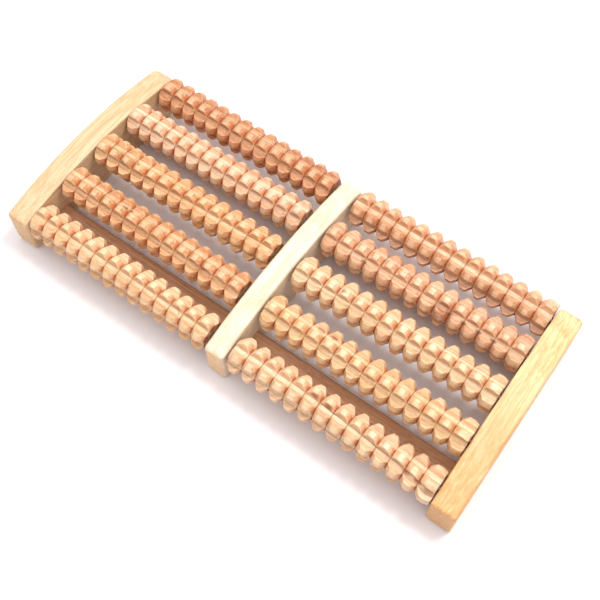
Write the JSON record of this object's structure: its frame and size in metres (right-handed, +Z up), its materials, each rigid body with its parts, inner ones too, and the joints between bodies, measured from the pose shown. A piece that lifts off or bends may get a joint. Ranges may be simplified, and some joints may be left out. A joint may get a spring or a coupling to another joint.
{
  "type": "foot massage roller",
  "caption": "Free-standing wooden foot massager with two banks of beaded, notched rollers that turn freely between arched rails.",
  "frame": {"origin": "centre of the footprint, on the floor plane under the rails", "axes": "+X along the rollers from the left bank to the right bank, +Y along the rails from front to rear, +Z up"},
  "size_m": [0.285, 0.1281, 0.0382],
  "materials": {
    "left_rail_wood": "sanded pale wood with a thin satin varnish",
    "middle_rail_wood": "sanded pale wood with a thin satin varnish",
    "right_rail_wood": "sanded pale wood with a thin satin varnish",
    "stretcher_wood": "darker sanded wood",
    "left_roller_1_wood": "turned wood with a semi-gloss varnish",
    "left_roller_2_wood": "turned wood with a semi-gloss varnish",
    "left_roller_3_wood": "turned wood with a semi-gloss varnish",
    "left_roller_4_wood": "turned wood with a semi-gloss varnish",
    "left_roller_5_wood": "turned wood with a semi-gloss varnish",
    "right_roller_1_wood": "turned wood with a semi-gloss varnish",
    "right_roller_2_wood": "turned wood with a semi-gloss varnish",
    "right_roller_3_wood": "turned wood with a semi-gloss varnish",
    "right_roller_4_wood": "turned wood with a semi-gloss varnish",
    "right_roller_5_wood": "turned wood with a semi-gloss varnish",
    "rod_steel": "plain drawn rod"
  },
  "bodies": {
    "frame": {"left_rail": "left_rail_wood", "middle_rail": "middle_rail_wood", "right_rail": "right_rail_wood", "front_stretcher": "stretcher_wood", "rear_stretcher": "stretcher_wood", "axle_1": "rod_steel", "axle_2": "rod_steel", "axle_3": "rod_steel", "axle_4": "rod_steel", "axle_5": "rod_steel"},
    "left_roller_1": {"left_roller_1": "left_roller_1_wood"},
    "left_roller_2": {"left_roller_2": "left_roller_2_wood"},
    "left_roller_3": {"left_roller_3": "left_roller_3_wood"},
    "left_roller_4": {"left_roller_4": "left_roller_4_wood"},
    "left_roller_5": {"left_roller_5": "left_roller_5_wood"},
    "right_roller_1": {"right_roller_1": "right_roller_1_wood"},
    "right_roller_2": {"right_roller_2": "right_roller_2_wood"},
    "right_roller_3": {"right_roller_3": "right_roller_3_wood"},
    "right_roller_4": {"right_roller_4": "right_roller_4_wood"},
    "right_roller_5": {"right_roller_5": "right_roller_5_wood"}
  },
  "joints": [
    {"name": "left_roller_1_spin", "type": "hinge", "parent": "frame", "child": "left_roller_1", "pos_m": [-0.0675, 0.0538, 0.0226], "axis": [1, 0, 0], "continuous": true},
    {"name": "left_roller_2_spin", "type": "hinge", "parent": "frame", "child": "left_roller_2", "pos_m": [-0.0675, 0.0269, 0.02658], "axis": [1, 0, 0], "continuous": true},
    {"name": "left_roller_3_spin", "type": "hinge", "parent": "frame", "child": "left_roller_3", "pos_m": [-0.0675, 0, 0.0279], "axis": [1, 0, 0], "continuous": true},
    {"name": "left_roller_4_spin", "type": "hinge", "parent": "frame", "child": "left_roller_4", "pos_m": [-0.0675, -0.0269, 0.02658], "axis": [1, 0, 0], "continuous": true},
    {"name": "left_roller_5_spin", "type": "hinge", "parent": "frame", "child": "left_roller_5", "pos_m": [-0.0675, -0.0538, 0.0226], "axis": [1, 0, 0], "continuous": true},
    {"name": "right_roller_1_spin", "type": "hinge", "parent": "frame", "child": "right_roller_1", "pos_m": [0.068, 0.0538, 0.0226], "axis": [1, 0, 0], "continuous": true},
    {"name": "right_roller_2_spin", "type": "hinge", "parent": "frame", "child": "right_roller_2", "pos_m": [0.068, 0.0269, 0.02658], "axis": [1, 0, 0], "continuous": true},
    {"name": "right_roller_3_spin", "type": "hinge", "parent": "frame", "child": "right_roller_3", "pos_m": [0.068, 0, 0.0279], "axis": [1, 0, 0], "continuous": true},
    {"name": "right_roller_4_spin", "type": "hinge", "parent": "frame", "child": "right_roller_4", "pos_m": [0.068, -0.0269, 0.02658], "axis": [1, 0, 0], "continuous": true},
    {"name": "right_roller_5_spin", "type": "hinge", "parent": "frame", "child": "right_roller_5", "pos_m": [0.068, -0.0538, 0.0226], "axis": [1, 0, 0], "continuous": true}
  ]
}
